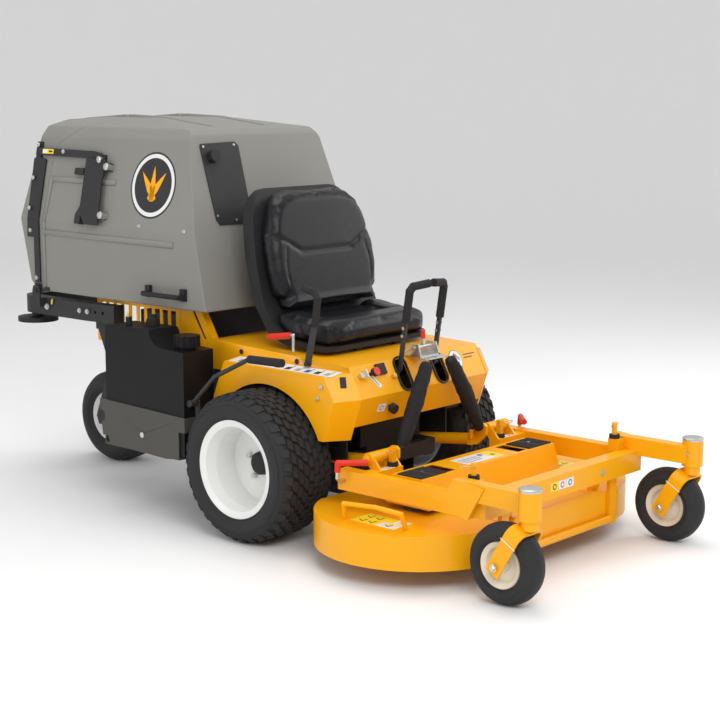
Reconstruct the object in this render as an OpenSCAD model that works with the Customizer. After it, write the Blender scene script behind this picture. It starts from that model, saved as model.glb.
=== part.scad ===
// Zero turn mower with an out-front deck and a rear grass catcher, as an assembly of separate pieces.
// Forward is -Y, the machine's right-hand side is -X, up is +Z, the ground is z = 0.
// Lengths are in millimetres. Y values are written from the drive axle; y_shift centres the whole.

/* [Drive wheels] */
// Drive tyre outside diameter
drive_tyre_od = 456; // [420:2:500]
// Drive tyre width
drive_tyre_width = 222; // [200:2:240]
// Distance of each drive wheel centre from the middle
drive_half_track = 402; // [395:1:410]
// Drive rim flange diameter
drive_rim_flange = 298; // [280:2:310]

/* [Tail wheel] */
// Tail tyre outside diameter
tail_tyre_od = 330; // [310:2:340]
// Tail tyre width
tail_tyre_width = 156; // [140:2:160]
// Tail axle position behind the drive axle
tail_axle_y = 1120; // [1100:5:1130]

/* [Deck casters] */
// Caster tyre outside diameter
caster_od = 224; // [214:2:228]
// Caster tyre width
caster_width = 82; // [76:2:86]
// Distance of each caster stem from the middle
caster_half_track = 407; // [400:1:412]

/* [Deck] */
// Radius of each round lobe of the cutting deck
lobe_radius = 298; // [290:1:300]
// Distance of each blade spindle from the middle
spindle_x = 270; // [266:1:276]
// Blade length from tip to tip
blade_length = 524; // [500:2:530]
// Thickness of the deck sheet
deck_sheet = 4; // [3:0.5:5]

/* [Body] */
// Half width of the body tub
tub_half = 300; // [296:1:304]
// Half width over the fenders
fender_half = 368; // [362:1:372]
// Body sheet thickness
body_sheet = 3; // [2.5:0.5:4]

/* [Catcher] */
// Half width of the grass catcher
catcher_half = 354; // [350:1:356]
// Catcher wall thickness
catcher_wall = 6; // [5:0.5:8]

/* [Output] */
// Piece to show, or all

/* [Hidden] */
$fn = 48;
y_shift = -113;
axle_z = drive_tyre_od / 2;
deck_y = -517;
stem_y = -1010;
caster_y = -939;
tail_stem_y = 1030;
pivot_y = -378;
pivot_z = 290;
arm_y = -60;
arm_z = 225;
tilt_y = 1118;
tilt_z = 655;
door_y = 800;
door_z = 1112;
lean = 11.54;

amber = [0.96, 0.62, 0.03];
charcoal = [0.16, 0.16, 0.17];
steel = [0.35, 0.35, 0.36];
zinc = [0.72, 0.73, 0.75];
black = [0.05, 0.05, 0.055];
warm_grey = [0.5, 0.49, 0.46];
white = [0.9, 0.9, 0.88];
cream = [0.86, 0.82, 0.72];
red = [0.8, 0.08, 0.05];
brass = [0.8, 0.6, 0.25];

// outline of [y, z] points drawn out along X from x0 to x1
module side(x0, x1, pts) translate([x0, 0, 0]) rotate([90, 0, 90])
    linear_extrude(height = x1 - x0) polygon(pts);
// outline of [x, z] points drawn out along Y from y0 to y1
module front(y0, y1, pts) translate([0, y1, 0]) rotate([90, 0, 0])
    linear_extrude(height = y1 - y0) polygon(pts);
// outline of [x, y] points drawn out along Z from z0 to z1
module plan(z0, z1, pts) translate([0, 0, z0]) linear_extrude(height = z1 - z0) polygon(pts);
module box(a, b) translate(a) cube(b - a);
module both() for (s = [1, -1]) scale_x(s) children();
module scale_x(s) if (s > 0) children(); else mirror([1, 0, 0]) children();
// shaft from a to b
module rod(a, b, r) {
    d = b - a;
    l = norm(d);
    translate(a) rotate([0, acos(d[2] / l), atan2(d[1], d[0])]) cylinder(h = l, r = r);
}
module path(pts, r) {
    for (i = [0:len(pts) - 2]) rod(pts[i], pts[i + 1], r);
    for (i = [1:len(pts) - 2]) translate(pts[i]) sphere(r = r + 0.4);
}
module across(x0, x1, y, z, r) translate([x0, y, z]) rotate([0, 90, 0]) cylinder(h = x1 - x0, r = r);
module rrect(x0, y0, x1, y1, r) {
    translate([x0 + r, y0]) square([x1 - x0 - 2 * r, y1 - y0]);
    translate([x0, y0 + r]) square([x1 - x0, y1 - y0 - 2 * r]);
    for (x = [x0 + r, x1 - r], y = [y0 + r, y1 - r]) translate([x, y]) circle(r = r);
}
// turned profile of [radius, offset] points about the X axis, positive offsets towards +X
module turned_x(pts) rotate([0, 90, 0]) rotate_extrude() polygon(pts);

// ---- frame and drive -------------------------------------------------------------------------
module main_frame() color(charcoal) difference() {
    union() {
        both() {
            box([130, -215, 196], [166, 640, 250]);
            box([232, -212, 236], [238, 330, 470]);
            box([140, -74, 253], [238, -20, 262]);
            box([140, -74, 245], [166, -20, 262]);
            box([160, 300, 236], [238, 330, 250]);
            box([203, -74, 206], [209, -36, 254]);
            box([130, 600, 245], [166, 640, 480]);
            box([305, 735, 545], [325, 850, 571]);
            side(315, 325, [[735, 571], [850, 571], [790, 440], [735, 440]]);
            box([232, -212, 330], [296, -206, 362]);
        }
        box([-176, 560, 200], [176, 600, 246]);
        box([-176, -215, 200], [176, -185, 246]);
        box([-290, -218, 362], [290, -206, 470]);
        box([-176, 600, 440], [176, 640, 480]);
        box([-325, 735, 440], [325, 775, 480]);
        box([-45, 640, 436], [45, 1066, 486]);
        translate([0, tail_stem_y, 372]) cylinder(h = 130, r = 38);
        both() box([232, 40, 462], [297, 300, 470]);
        both() box([232, -205, 462], [297, -150, 470]);
        both() across(160, 209, arm_y, arm_z, 12);
    }
    translate([0, tail_stem_y, 370]) cylinder(h = 134, r = 20.05);
}

module body_shell() color(amber) difference() {
    union() {
        // tub: top plate, sloping dash and its lower return
        side(-tub_half, tub_half, [[302, 565], [-277, 542], [-325, 452], [-295, 365],
            [-292, 366], [-321.8, 452.4], [-275, 539], [302, 562]]);
        both() side(tub_half - body_sheet, tub_half, [[302, 565], [-277, 542], [-325, 452],
            [-295, 365], [-246, 326], [-236, 326], [-226, 400], [-150, 471], [302, 471]]);
        both() fender();
        both() side(tub_half - 26, tub_half, [[302, 471], [302, 565], [352, 648], [384, 648],
            [330, 560], [330, 471]]);
        both() side(tub_half - 3, tub_half, [[340, 471], [340, 560], [396, 648], [452, 648],
            [452, 471]]);
        both() box([290, 326, 471], [298.5, 344, 560]);
    }
    // wheel arches
    both() across(262, 540, 0, axle_z, 240);
    // lever slots in the dash
    for (s = [-1, 1]) lever_slot(s * 84, 24, 20);
    // seat well under the seat
    box([-130, 20, 540], [130, 230, 580]);
}
module fender() difference() {
    intersection() {
        front(-340, 240, [[tub_half - 3, 527], [fender_half, 517], [fender_half, 326],
            [tub_half - 3, 326]]);
        side(290, 380, [[170, 540], [-330, 540], [-330, 326], [240, 326], [226, 407]]);
        fender_front(0);
    }
    intersection() {
        front(-341, 241, [[tub_half - 4, 523.8], [fender_half - 3, 513.8],
            [fender_half - 3, 300], [tub_half - 4, 300]]);
        fender_front(3);
    }
}
// room behind the two swept-back front planes of the fender, both moved back by t
module fender_front(t) intersection() {
    behind([4290, -6120, 3264], t);
    behind([3765, -5916, -2040], t);
}
// half-space through the fender's front knee, on the far side of its normal n
module behind(n, t) translate([tub_half, -325, 452])
    rotate([0, acos(n[2] / norm(n)), atan2(n[1], n[0])])
        translate([-500, -500, -1000 - t]) cube(1000);
module lever_slot(x, half, depth) translate([x, -304, 497]) rotate([62, 0, 0])
    translate([0, 0, -depth]) linear_extrude(height = 2 * depth)
        rrect(-half, -50, half, 50, half - 1);

module rear_grilles() color(amber) both() difference() {
    side(tub_half - 3, tub_half, [[453, 471], [453, 648], [871, 645], [871, 502], [700, 502],
        [640, 471]]);
    for (i = [0:9]) box([tub_half - 5, 474 + i * 39, 520], [tub_half + 2, 498 + i * 39, 636]);
}

module engine() color(steel) {
    box([-150, 250, 262], [150, 560, 330]);
    box([-120, 270, 330], [120, 540, 430]);
    translate([0, 405, 430]) cylinder(h = 60, r = 120);
    translate([0, 405, 490]) cylinder(h = 30, r = 96);
    // two cylinders with cooling fins, and the silencer behind
    both() {
        for (i = [0:4]) box([130 + i * 14, 356, 334], [136 + i * 14, 454, 426]);
        box([118, 372, 350], [200, 438, 410]);
    }
    box([-110, 555, 300], [110, 700, 400]);
    // air shroud on its post, behind the seat
    box([-60, 512, 425], [60, 560, 492]);
    box([-255, 512, 489], [255, 700, 618]);
}

module transmissions() color(steel) both() {
    box([190.5, -80, 270], [231.5, 90, 400]);
    across(150, 231.5, 0, axle_z + 66, 52);
    box([192, -54, 251], [231, 54, 272]);
    across(238.2, 262, 0, axle_z, 70);
    across(206, 238.2, 0, axle_z + 20, 22);
    across(262, 372, 0, axle_z, 20);
}

module blower_housing() color(black) difference() {
    union() {
        side(-140, 140, [[-180, 260], [160, 260], [160, 452], [-60, 452], [-180, 380]]);
        side(-110, 110, [[-184, 90], [-20, 90], [60, 258], [60, 262], [-180, 262], [-184, 200]]);
    }
    side(-104, 104, [[-190, 96], [-24, 96], [52, 258], [52, 300], [-172, 300], [-178, 196],
        [-190, 196]]);
    side(-134, 134, [[-172, 268], [152, 268], [152, 440], [-58, 440], [-172, 376]]);
}

module fuel_tank() color(black) {
    intersection() {
        side(-480, -356, [[240, 222], [240, 548], [346, 552], [372, 560], [392, 580],
            [402, 604], [606, 600], [612, 590], [612, 222]]);
        translate([0, 620, 0]) rotate([90, 0, 0]) linear_extrude(height = 400)
            rrect(-480, 200, -356, 606, 16);
    }
    translate([-418, 290, 540]) cylinder(h = 18, r = 27);
}
module fuel_cap() color(black) translate([-418, 290, 558.3]) {
    cylinder(h = 34, r = 38);
    for (a = [0:30:330]) rotate([0, 0, a]) translate([38, 0, 0]) cylinder(h = 34, r = 4, $fn = 16);
}
module tank_bracket() color([0.26, 0.26, 0.25]) {
    difference() {
        side(-485, -481, [[234, 347], [639, 359], [639, 322], [617, 318], [617, 288], [634, 284],
            [628, 240], [604, 240], [591, 214], [323, 207], [262, 214], [262, 300], [234, 300]]);
        across(-486, -480, 430, 268, 4);
    }
    box([-484, 262, 211], [-190.5, 591, 219]);
    box([-484, 614, 219], [-356, 618, 350]);
    box([-484, 575, 211], [-190.5, 618, 219]);
    box([-484, 234, 300], [-370, 237, 346]);
    box([-438.5, 221, 336], [-430, 237, 402]);
}

module bumper_frame() color(charcoal) difference() {
    union() {
        both() {
            box([305, 880, 571], [345, 1180, 631]);
            side(305, 345, [[730, 574], [730, 634], [880, 631], [880, 571]]);
            box([335, 1098, 600], [369, 1138, 631]);
            side(363, 369, [[1098, 631], [1098, 655], [1104, 672], [1118, 676], [1132, 672],
                [1138, 655], [1138, 631]]);
            across(354.6, 373, tilt_y, tilt_z, 8);
        }
        translate([0, 0, 571]) linear_extrude(height = 60) difference() {
            rrect(-345, 1050, 345, 1250, 70);
            rrect(-305, 1010, 305, 1210, 34);
            translate([-400, 1000]) square([800, 172]);
        }
        box([-305, 1210, 574], [305, 1236, 628]);
        both() translate([296, 1207, 552]) cylinder(h = 20, r = 22);
        both() translate([296, 1207, 532]) cylinder(h = 22, r = 8);
    }
    both() for (y = [788, 828]) across(300, 350, y, 604, 6);
}
module bumper_roller(s) color(black) translate([s * 296, 1207, 536]) difference() {
    cylinder(h = 15.5, r = 70);
    translate([0, 0, -1]) cylinder(h = 20, r = 8.06);
}

// ---- counterweight springs and their bracket ---------------------------------------------------
module spring_bracket() color(zinc) difference() {
    union() {
        box([-44, -336, 545], [44, -262, 549]);
        side(-44, -40, [[-338, 549], [-262, 549], [-292, 584], [-326, 584]]);
        side(40, 44, [[-338, 549], [-262, 549], [-292, 584], [-326, 584]]);
        box([-44, -368, 541], [44, -334, 545]);
        box([-44, -336, 541], [44, -330, 549]);
        both() box([43, -364, 541], [52, -336, 545]);
    }
    across(-50, 50, -309, 572, 5.05);
}
module bracket_lever() color(zinc) {
    across(-50, 50, -309, 572, 5);
    box([-5, -314, 576], [5, -304, 614]);
    color(red) translate([0, -309, 596]) cylinder(h = 26, r = 7);
}
module spring_sleeves() color(black) both()
    rod([54, -371, 534], [176, -380, 330], 24);

// ---- dash, seat and levers -----------------------------------------------------------------------
module dash_trim() color(black) {
    for (s = [-1, 1]) {
        translate([s * 84, -304, 497]) rotate([62, 0, 0]) translate([0, 0, -2.6])
            linear_extrude(height = 5) difference() {
                rrect(-29, -54, 29, 58, 28);
                rrect(-23, -48, 23, 53, 22);
            }
    }
    translate([-174, -290, 522]) rotate([62, 0, 0]) translate([-19, -17, -2])
        cube([38, 34, 8]);
    translate([-327, -280, 501]) rotate([66.4, 0, -35]) translate([-9, -16, 0.1]) cube([18, 32, 3]);
}
module frame_fasteners() color(zinc) {
    both() for (p = [[168, 540], [-71, 537]]) translate([tub_half, p[0], p[1]])
        rotate([0, 90, 0]) cylinder(h = 4, r = 8);
    both() for (p = [[-234, 488], [-220, 452]]) translate([fender_half, p[0], p[1]])
        rotate([0, 90, 0]) cylinder(h = 4, r = 7);
    both() translate([tub_half, -258, 346]) rotate([0, 90, 0]) cylinder(h = 5, r = 12);
    translate([-485, 430, 268]) rotate([0, -90, 0]) cylinder(h = 5, r = 9);
    both() for (y = [864, 905]) translate([345, y, 604]) rotate([0, 90, 0])
        cylinder(h = 5, r = 7);
    both() translate([345, 1080, 602]) rotate([0, 90, 0]) cylinder(h = 7, r = 9);
    color(brass) {
        translate([-131, -302.1, 495]) rotate([62, 0, 0]) cylinder(h = 12, r = 8);
        translate([-440, 540, 602]) cylinder(h = 26, r = 10);
    }
    translate([-400, 470, 603.2]) cylinder(h = 17, r = 22);
}
// outline of the seat seen from the front, half width w from z0 to the rounded top at z1
function seat_side(w, z0, z1) = [[w - 24, z0], [w - 6, z0 + 80], [w, z1 - 240], [w - 8, z1 - 142],
    [w - 22, z1 - 80], [w - 48, z1 - 34], [w - 86, z1 - 10], [w - 134, z1]];
function seat_outline(w, z0, z1) = let (half = seat_side(w, z0, z1), n = len(half) - 1)
    concat(half, [for (i = [n:-1:0]) [-half[i][0], half[i][1]]]);
module seat_pan() color(black) {
    intersection() {
        side(-255, 255, [[-138, 575], [-138, 560], [30, 566], [104, 596], [166, 690], [228, 960],
            [236, 1026], [222, 1034], [208, 1024], [181, 960], [124, 701], [90, 632], [25, 590]]);
        translate([0, 0, 500]) linear_extrude(height = 560) rrect(-255, -138, 255, 240, 60);
        front(-200, 260, seat_outline(255, 500, 1040));
    }
    for (s = [-1, 1]) {
        box([s * 90 - 14, -130, 559], [s * 90 + 14, 60, 567]);
        across(s * 90 - 14, s * 90 + 14, -124, 557, 7);
        translate([s * 90, -4, 554.5]) cylinder(h = 16, r = 18);
    }
}
module seat_cushion() color(black) intersection() {
    side(-246, 246, [[-158, 590], [-158, 628], [-120, 648], [0, 640], [96, 668], [103, 664],
        [84, 634], [22, 592], [-134, 577.5]]);
    translate([0, 0, 500]) linear_extrude(height = 260) rrect(-246, -158, 246, 160, 70);
}
module seat_backrest() color(black) intersection() {
    side(-250, 250, [[56, 700], [60, 684], [118, 702], [179, 960], [206, 1026], [196, 1042],
        [150, 1040], [128, 1000], [94, 860]]);
    front(0, 260, seat_outline(250, 640, 1044));
}
module steering_lever(s) color(steel) {
    across(s * 80 - 12, s * 80 + 12, -250, 402, 9);
    rod([s * 80, -250, 402], [s * 80, -287, 524], 6);
    side(s * 80 - 4, s * 80 + 4, [[-279, 508], [-292, 506], [-316, 660], [-302, 663]]);
    both_bolts(s);
}
module both_bolts(s) for (z = [612, 636]) across(s * 80 - 9, s * 80 + 9, -301 - (z - 612) * 0.16, z, 5);
module steering_grip(s) color(black)
    path([[s * 80, -308.5, 654], [s * 80, -323, 748], [s * 70, -328, 762], [s * 10, -340, 768]], 12.5);
module speed_lever() color(steel) {
    across(-322, -302, -124, 536, 7);
    side(-316, -308, [[-114, 536], [-134, 532], [-164, 660], [-146, 664]]);
    color(black) path([[-312, -154, 652], [-312, -166, 735], [-308, -150, 752], [-296, -96, 758]], 11);
}
module side_lever() color(steel) {
    path([[-455, 224, 395.7], [-455, 126, 487], [-455, -20, 556], [-455, -40, 560]], 7);
    across(-470, -440, 228, 392, 11);
    color(black) rod([-455, -24, 557], [-455, -160, 561], 12.5);
}
module clutch_rod() color(zinc) {
    path([[-282, -36, 560], [-282, -36, 610], [-282, 0, 606]], 5);
    color(red) rod([-282, -24, 608], [-282, 68, 594], 10);
}
module ignition_key() color(zinc) translate([-268, -293.3, 512]) rotate([62, 0, 0]) {
    cylinder(h = 14, r = 9);
    box([-2, -12, 14], [2, 12, 34]);
}
module throttle_knob() color(red) translate([-222, -292.8, 513]) rotate([62, 0, 0]) {
    cylinder(h = 16, r = 6);
    translate([0, 0, 16]) cylinder(h = 14, r = 13);
}
module choke_knob() color(black) translate([-158, -311.5, 412]) rotate([109, 0, 0]) {
    cylinder(h = 14, r = 5);
    translate([0, 0, 10]) cylinder(h = 16, r = 15);
}

// ---- wheels ----------------------------------------------------------------------------------------
module drive_tyre(s) color(black) translate([s * drive_half_track, 0, axle_z]) {
    w = drive_tyre_width / 2;
    r = drive_tyre_od / 2;
    turned_x([[135, -w + 20], [150, -w + 14], [168, -w + 3], [188, -w], [204, -w + 3],
        [218, -w + 12], [r - 2, -w + 26], [r, -w + 48], [r, w - 48], [r - 2, w - 26],
        [218, w - 12], [204, w - 3], [188, w], [168, w - 3], [150, w - 14], [135, w - 20]]);
}
module drive_rim(s) translate([s * drive_half_track, 0, axle_z]) scale_x(s) {
    color(white) turned_x([[135, -91], [135, 91], [drive_rim_flange / 2, 97], [149, 100],
        [146, 101], [129, 93], [118, 60], [113, -12], [70, -22], [34, -22], [34, -28],
        [112, -28], [118, -34], [128, -90]]);
    color(black) turned_x([[20.3, -31], [37, -31], [37, -21], [33.8, -4], [24, 2], [0, 2], [0, -4],
        [20.3, -4]]);
    color(zinc) for (a = [18:72:306]) rotate([a, 0, 0]) translate([-23, 54, 0])
        rotate([0, 90, 0]) cylinder(h = 14, r = 9, $fn = 6);
    color(black) rotate([200, 0, 0]) translate([-6, 100, 0]) rotate([0, 90, 20])
        cylinder(h = 36, r = 4);
}
module tail_fork() color(charcoal) {
    translate([0, tail_stem_y, 352]) cylinder(h = 158, r = 20);
    translate([0, tail_stem_y, 504.5]) cylinder(h = 8, r = 30);
    box([-98, tail_stem_y - 45, 340], [98, tail_stem_y + 45, 352]);
    both() side(90, 98, [[tail_stem_y - 45, 346], [tail_stem_y + 45, 346],
        [tail_axle_y + 26, 172], [tail_axle_y + 14, 142], [tail_axle_y - 14, 142],
        [tail_axle_y - 28, 172]]);
    across(-98, 98, tail_axle_y, tail_tyre_od / 2, 10);
}
module tail_rim() color(white) translate([0, tail_axle_y, tail_tyre_od / 2]) turned_x(
    [[10.06, -60], [24, -60], [24, -18], [60, -14], [72, -50], [86, -66], [90, -62], [78, -44],
    [78, 44], [90, 62], [86, 66], [72, 50], [60, 14], [24, 18], [24, 60], [10.06, 60]]);
module tail_tyre() color(black) translate([0, tail_axle_y, tail_tyre_od / 2]) {
    w = tail_tyre_width / 2;
    r = tail_tyre_od / 2;
    turned_x([[78.4, -44], [90, -60], [110, -w + 2], [128, -w], [148, -w + 10], [r - 3, -w + 30],
        [r, -w + 50], [r, w - 50], [r - 3, w - 30], [148, w - 10], [128, w], [110, w - 2],
        [90, 60], [78.4, 44]]);
}

// ---- cutting deck ------------------------------------------------------------------------------------
module push_arms() color(amber) both() {
    rod([187, arm_y - 22, arm_z + 2], [205, -340, 256], 18);
    difference() {
        across(172, 198, arm_y, arm_z, 25);
        across(165, 212, arm_y, arm_z, 12.06);
    }
    side(205, 217, [[-340, 240], [-360, 240], [-396, 276], [-396, 302], [-386, 310],
        [-370, 310], [-360, 300], [-334, 270]]);
    across(210, 340, pivot_y, pivot_z, 10);
    box([186, -352, 240], [217, -336, 272]);
    translate([188, -352, 262]) cylinder(h = 26, r = 7);
}
module deck_frame() color(amber) difference() {
    union() {
        both() {
            box([367, -760, 209], [407, -333, 268]);
            side(385, 407, [[-740, 212], [-691, 209], [-755, 309], [-858, 297], [-805, 204]]);
            box([362, -1010, 254], [402, -757, 306]);
            box([367, -800, 205], [402, -740, 268]);
            translate([caster_half_track, stem_y, 242]) cylinder(h = 76, r = 31);
            box([232, -430, 209], [367, -390, 262]);
            // rear pivot sleeve and its gussets
            across(231, 329, pivot_y, pivot_z, 18);
            side(232, 240, [[-430, 255], [-392, 255], [-362, 286], [-366, 304], [-388, 304]]);
            side(318, 326, [[-430, 255], [-392, 255], [-362, 286], [-366, 304], [-388, 304]]);
            box([343, -372, 225], [367, -345, 252]);
            // front clevis pin blocks
            box([330, -801, 262], [368, -764, 300]);
        }
        box([-385, -848, 205], [385, -800, 268]);
        box([-367, -430, 209], [367, -402, 225]);
        both() box([251, -828, 60], [285, -815.3, 240]);
        both() box([200, -801, 171], [232, -780, 206]);
        both() box([200, -797.5, 159.8], [232, -780, 172]);
        both() box([200, -430, 159.8], [232, -402, 210]);
    }
    both() {
        translate([caster_half_track, stem_y, 235]) cylinder(h = 90, r = 12.76);
        across(225, 345, pivot_y, pivot_z, 10.06);
        across(330, 420, -358, 238, 6.06);
        box([-375, -840, 213], [375, -808, 260]);
    }
}
module deck_shell() color(amber) {
    difference() {
        lobes(0, 60, 158);
        lobes(deck_sheet, 50, 152);
        for (s = [-1, 1]) translate([s * spindle_x, deck_y, 140]) cylinder(h = 30, r = 30.2);
    }
    // raised hump on the front face and the round bar below it
    front(-816, -798, [[-215, 66], [215, 66], [215, 160], [206, 170], [-206, 170], [-215, 160]]);
    across(-251, 251, -826, 76, 12);
    both() box([203, -794, 152], [229, -402, 159.8]);
}
module deck_handles() color(amber) both()
    path([[467, -642, 157], [487, -640, 206], [503, -560, 214], [507, -448, 206],
        [495, -440, 157]], 7);
module lobes(t, z0, z1) difference() {
    union() {
        for (s = [-1, 1]) translate([s * spindle_x, deck_y, z0])
            cylinder(h = z1 - z0, r = lobe_radius - t);
        box([-spindle_x, -802 + t, z0], [spindle_x, deck_y, z1]);
        box([-spindle_x, deck_y, z0], [spindle_x, -240 - t, z1]);
    }
    box([-600, -240 - t, z0 - 1], [600, -100, z1 + 1]);
}
module deck_cover() color(amber) difference() {
    side(-320, 320, [[-600, 173], [-574, 258], [-458, 258], [-438, 173]]);
    side(-316, 316, [[-596, 172], [-571, 254], [-461, 254], [-442, 172]]);
    box([-197, -562, 250], [-150, -470, 260]);
    box([150, -562, 250], [197, -470, 260]);
}
module deck_bumpers() {
    // non-slip tread pads on the cover, rubber bumpers and their pins
    color(charcoal) both() difference() {
        box([200, -566, 258], [315, -478, 262]);
        translate([257, -522, 250]) cylinder(h = 20, r = 5);
    }
    color(black) both() translate([345, -777, 300]) cylinder(h = 12, r = 16);
    color(black) both() translate([257, -411, 262]) cylinder(h = 13, r = 16);
    color(amber) both() translate([345, -777, 312]) cylinder(h = 34, r = 8);
    color(amber) both() box([249, -419, 275], [265, -403, 318]);
    color(zinc) both() translate([257, -522, 258]) cylinder(h = 7, r = 4.9);
}
module deck_gearboxes() color(steel) {
    both() {
        translate([spindle_x, deck_y, 158]) cylinder(h = 14, r = 40.5);
        box([spindle_x - 44, deck_y - 44, 171], [spindle_x + 44, deck_y + 44, 240]);
        translate([spindle_x, deck_y, 128]) cylinder(h = 34, r = 30);
        translate([spindle_x, deck_y, 88]) cylinder(h = 42, r = 12);
    }
    across(-230, 230, deck_y, 206, 12);
    box([-50, deck_y - 45, 176], [50, deck_y + 45, 242]);
    box([-20, deck_y + 40, 192], [20, deck_y + 58, 222]);
}
module blade(s, a) color(steel) translate([s * spindle_x, deck_y, 0]) rotate([0, 0, a]) difference() {
    union() {
        plan(88, 94, [[-blade_length / 2, -28], [-150, -28], [150, -28], [blade_length / 2, -16],
            [blade_length / 2, 28], [150, 28], [-150, 28], [-blade_length / 2, 16]]);
        translate([0, 0, 80]) cylinder(h = 20, r = 30);
        side(-blade_length / 2, -170, [[22, 93], [28, 94], [40, 112], [36, 112]]);
        side(170, blade_length / 2, [[-22, 93], [-28, 94], [-40, 112], [-36, 112]]);
    }
    translate([0, 0, 87]) cylinder(h = 20, r = 12.06);
}
module latch_pin(s) scale_x(s) {
    color(zinc) path([[340, -358, 238], [424, -358, 238], [436, -358, 250], [436, -358, 284]], 6);
    color(red) path([[436, -358, 268], [436, -360, 294], [374, -420, 294]], 9);
}

// ---- deck casters --------------------------------------------------------------------------------------
module caster_fork(s) scale_x(s) {
    color(zinc) {
        translate([caster_half_track, stem_y, 318.3]) cylinder(h = 5, r = 31);
        translate([caster_half_track, stem_y, 222]) cylinder(h = 99, r = 12.7);
    }
    color(amber) translate([caster_half_track, caster_y, caster_od / 2]) rotate([30, 0, 0]) {
        translate([0, 23, 0]) rotate([90, 0, 0]) linear_extrude(height = 46) difference() {
            rrect(-55, -60, 55, 125, 26);
            rrect(-49, -80, 49, 119, 22);
            translate([-60, -70]) square([120, 48]);
        }
        across(-49.5, 49.5, 0, 0, 9.5);
    }
    color(zinc) both_caps();
    color(amber) translate([caster_half_track, stem_y, 216]) cylinder(h = 25.7, r = 24);
}
module both_caps() for (x = [55, -61]) across(caster_half_track + x, caster_half_track + x + 6,
    caster_y, caster_od / 2, 8);
module caster_rim(s) color(cream) translate([s * caster_half_track, caster_y, caster_od / 2])
    turned_x([[9.56, -44], [20, -44], [20, -14], [46, -12], [50, -26], [62, -34], [64, -30],
        [56, -20], [56, 20], [64, 30], [62, 34], [50, 26], [46, 12], [20, 14], [20, 44], [9.56, 44]]);
module caster_tyre(s) color(black) translate([s * caster_half_track, caster_y, caster_od / 2]) {
    w = caster_width / 2;
    r = caster_od / 2;
    turned_x([[56.4, -20], [64.5, -30], [72, -w + 3], [84, -w], [98, -w + 8], [r - 4, -w + 20],
        [r, -w + 36], [r, w - 36], [r - 4, w - 20], [98, w - 8], [84, w], [72, w - 3],
        [64.5, 30], [56.4, 20]]);
}

// ---- grass catcher ---------------------------------------------------------------------------------------
module catcher_solid(t) intersection() {
    side(-400, 400, [[273 + t, 655 + t], [322 + t, 896], [400 + t, 1196 - t], [420 + t, 1214 - t],
        [700, 1246 - t], [900, 1252 - t], [1144 - t, 1236 - t], [1213 - t, 902],
        [1163 - t, 688 + t * 0.4], [1130 - t * 0.4, 656 + t]]);
    front(200, 1300, [[-catcher_half + t, 640], [-catcher_half + t, 896], [-296 + t, 1180],
        [-272 + t, 1216 - t * 0.6], [-150, 1246 - t], [150, 1246 - t], [272 - t, 1216 - t * 0.6],
        [296 - t, 1180], [catcher_half - t, 896], [catcher_half - t, 640]]);
}
// region behind the seam where the rear door parts from the shell, grown forward by g
module door_region(g) side(-420, 420, [[889 - g, 1262], [890 - g, 1247], [1064 - g, 1150],
    [1080 - g, 1049], [1092 - g, 872], [1092 - g, 640], [1300, 640], [1300, 1300], [889 - g, 1300]]);
// outline of [y, distance up the leaning upper wall] points, drawn outwards from offset a to b
module on_wall(a, b, pts) translate([catcher_half, 0, 896]) rotate([0, -lean, 0]) side(a, b, pts);
module catcher_shell() color(warm_grey) difference() {
    union() {
        difference() {
            catcher_solid(0);
            catcher_solid(catcher_wall);
            door_region(1.5);
        }
        // raised ribs on each side
        both() {
            side(catcher_half - 1, catcher_half + 4, [[418, 846], [418, 865], [1088, 867], [1088, 850]]);
            side(catcher_half - 1, catcher_half + 4, [[1074, 672], [1087, 672], [1087, 851],
                [1074, 851]]);
            side(catcher_half - 1, catcher_half + 4, [[1072, 866], [1086, 866], [1084, 896],
                [1070, 896]]);
            on_wall(-1, 4, [[1070, 0], [1083, 0], [1070, 156], [1054, 156]]);
            on_wall(-1, 4, [[725, 136], [725, 154], [860, 154], [860, 136]]);
            on_wall(-1, 4, [[878, 136], [878, 154], [1060, 154], [1064, 136]]);
        }
    }
    // grass inlet in the floor and the access opening in the front
    box([-110, 330, 640], [110, 460, 668]);
    rotate_panel() translate([-176, -120, -30]) cube([76, 200, 60]);
}
module rotate_panel() translate([0, 361, 1046]) rotate([-atan(78 / 300), 0, 0]) rotate([90, 0, 0]) children();
module catcher_door() color(warm_grey) intersection() {
    difference() {
        catcher_solid(0);
        catcher_solid(catcher_wall);
    }
    door_region(0);
}
module door_arms() color(charcoal) both() {
    side(355, 361, [[1102, 684], [1130, 684], [1130, 839], [1166, 839], [1163, 899], [1103, 899]]);
    on_wall(1, 7, [[1103, -1], [1164, -1], [1169, 210], [1160, 216], [1160, 270], [1132, 270],
        [1132, 216], [1103, 210]]);
    difference() {
        on_wall(5.6, 11.6, [[1156, 225], [1156, 249], [840, 244], [806, 238], [788, 228], [784, 214],
            [796, 204], [812, 204], [830, 220]]);
        across(300, 340, door_y, door_z, 8.5);
    }
    for (p = [[1144, 862], [1118, 700]]) across(354.5, 364, p[0], p[1], 7);
    translate([catcher_half, 0, 896]) rotate([0, -lean, 0])
        for (p = [[1152, 40], [1152, 144], [1146, 258], [1006, 238]]) across(1, 13, p[0], p[1], 7);
}
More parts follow.
